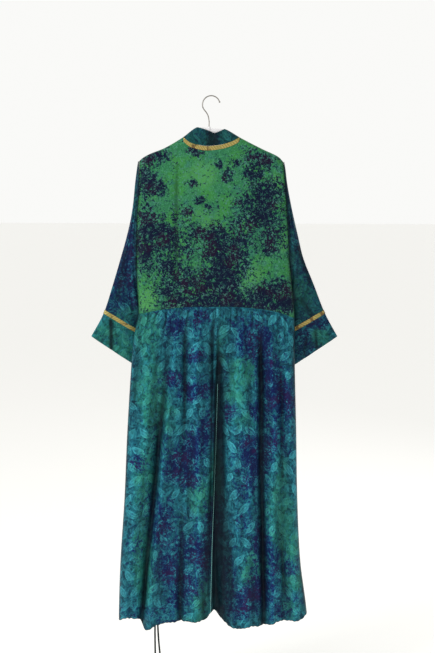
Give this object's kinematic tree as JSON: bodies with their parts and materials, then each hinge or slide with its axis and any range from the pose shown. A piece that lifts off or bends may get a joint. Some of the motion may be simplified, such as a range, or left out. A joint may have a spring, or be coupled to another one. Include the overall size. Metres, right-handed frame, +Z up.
{
  "type": "kimono on hanger",
  "caption": "Long open-front silk kimono robe with wide sleeves, hanging on a plain plastic hanger with a wire hook.",
  "frame": {"origin": "the inside top of the hanger's hook, where a rod or a nail holds it", "axes": "+Z up; -Y out of the robe's back, +Y out of its open front; -X to its wearer's left, +X to its wearer's right"},
  "size_m": [0.7032, 0.083, 1.7052],
  "materials": {
    "plastic": "smooth white",
    "wire": "plain wire",
    "yoke_silk": "silk, green with dark stains",
    "print_silk": "silk, teal with a leaf print",
    "ribbon": "woven gold ribbon",
    "tie": "dark round cord"
  },
  "bodies": {
    "root": {"hanger_body": "plastic", "hanger_hook": "wire", "bodice_back": "yoke_silk", "bodice_front_left": "yoke_silk", "bodice_front_right": "yoke_silk", "skirt_back_left": "print_silk", "skirt_back_right": "print_silk", "skirt_front_left": "print_silk", "skirt_front_right": "print_silk", "sleeve_left": "print_silk", "sleeve_right": "print_silk", "cuff_left": "print_silk", "cuff_right": "print_silk", "collar": "print_silk", "band_left": "print_silk", "band_right": "print_silk", "neck_ribbon": "ribbon", "cuff_ribbon_left": "ribbon", "cuff_ribbon_right": "ribbon", "tie_tail_outer": "tie", "tie_tail_inner": "tie", "tie_knot_outer": "tie", "tie_knot_inner": "tie"}
  },
  "joints": []
}
